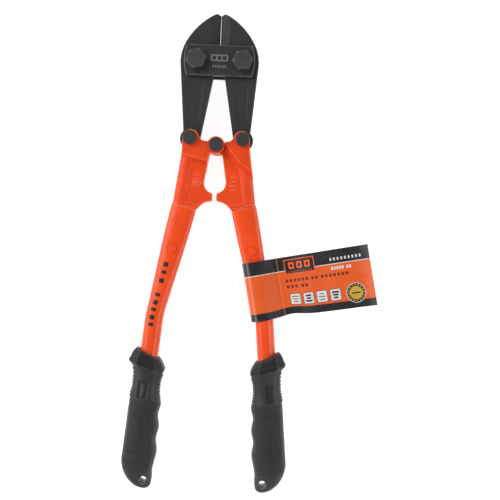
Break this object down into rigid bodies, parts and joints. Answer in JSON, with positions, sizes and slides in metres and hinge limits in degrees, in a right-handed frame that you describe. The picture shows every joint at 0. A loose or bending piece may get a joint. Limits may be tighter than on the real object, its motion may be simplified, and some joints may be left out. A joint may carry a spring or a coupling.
{
  "type": "bolt cutters",
  "caption": "Compound-lever bolt cutters: pivoted cutting jaws between side plates, two cast handle heads with tubular handles, moulded grips and a hang label.",
  "frame": {"origin": "on the centre pivot's axis, in the plane of the rear nuts' end faces, which lie on the bench", "axes": "+X across the tool towards its right-hand handle seen from the front, +Y along the tool towards the jaw tips, +Z out of the front face"},
  "size_m": [0.1789, 0.3492, 0.0419],
  "materials": {
    "jaw_steel": "satin black-oxide forged steel",
    "plate_steel": "satin black-oxide steel plate",
    "bolt_steel": "phosphated hexagon fasteners",
    "pivot_steel": "phosphated round pivot heads",
    "washer_steel": "phosphated washers",
    "handle_paint": "gloss orange enamel",
    "grip_rubber": "moulded soft plastic, fine texture",
    "label_card": "glossy printed card"
  },
  "bodies": {
    "head_plates": {"front_plate": "plate_steel", "rear_plate": "plate_steel", "left_jaw_bolt": "bolt_steel", "left_jaw_washer": "washer_steel", "left_jaw_nut": "bolt_steel", "right_jaw_bolt": "bolt_steel", "right_jaw_washer": "washer_steel", "right_jaw_nut": "bolt_steel"},
    "left_jaw": {"left_jaw": "jaw_steel"},
    "right_jaw": {"right_jaw": "jaw_steel"},
    "left_handle": {"left_handle_head": "handle_paint", "left_handle_tube": "handle_paint", "left_tube_rivet": "handle_paint", "left_grip": "grip_rubber", "left_link_bolt": "pivot_steel", "left_link_washer": "washer_steel", "left_link_nut": "bolt_steel", "centre_bolt": "pivot_steel", "centre_washer": "washer_steel", "centre_nut": "bolt_steel"},
    "right_handle": {"right_handle_head": "handle_paint", "right_handle_tube": "handle_paint", "right_tube_rivet": "handle_paint", "right_grip": "grip_rubber", "right_link_bolt": "pivot_steel", "right_link_washer": "washer_steel", "right_link_nut": "bolt_steel", "hang_label": "label_card"}
  },
  "joints": [
    {"name": "left_jaw_pivot", "type": "hinge", "parent": "head_plates", "child": "left_jaw", "pos_m": [-0.0169, 0.0614, 0.0135], "axis": [0, 0, 1], "range_deg": [0, 11.74]},
    {"name": "left_link_pivot", "type": "hinge", "parent": "left_jaw", "child": "left_handle", "pos_m": [-0.01935, 0.0046, 0.0135], "axis": [0, 0, 1], "range_deg": [-65.44, 0]},
    {"name": "handles_open", "type": "hinge", "parent": "left_handle", "child": "right_handle", "pos_m": [0, 0, 0.0135], "axis": [0, 0, 1], "range_deg": [0, 107.4]},
    {"name": "right_link_pivot", "type": "hinge", "parent": "right_handle", "child": "right_jaw", "pos_m": [0.01935, 0.0046, 0.0135], "axis": [0, 0, 1], "range_deg": [-65.44, 0]}
  ],
  "couplings": [
    {"joint": "left_jaw_pivot", "follows": "handles_open", "ratio": 0.1092},
    {"joint": "left_link_pivot", "follows": "handles_open", "ratio": -0.6092},
    {"joint": "right_link_pivot", "follows": "handles_open", "ratio": -0.6092}
  ]
}
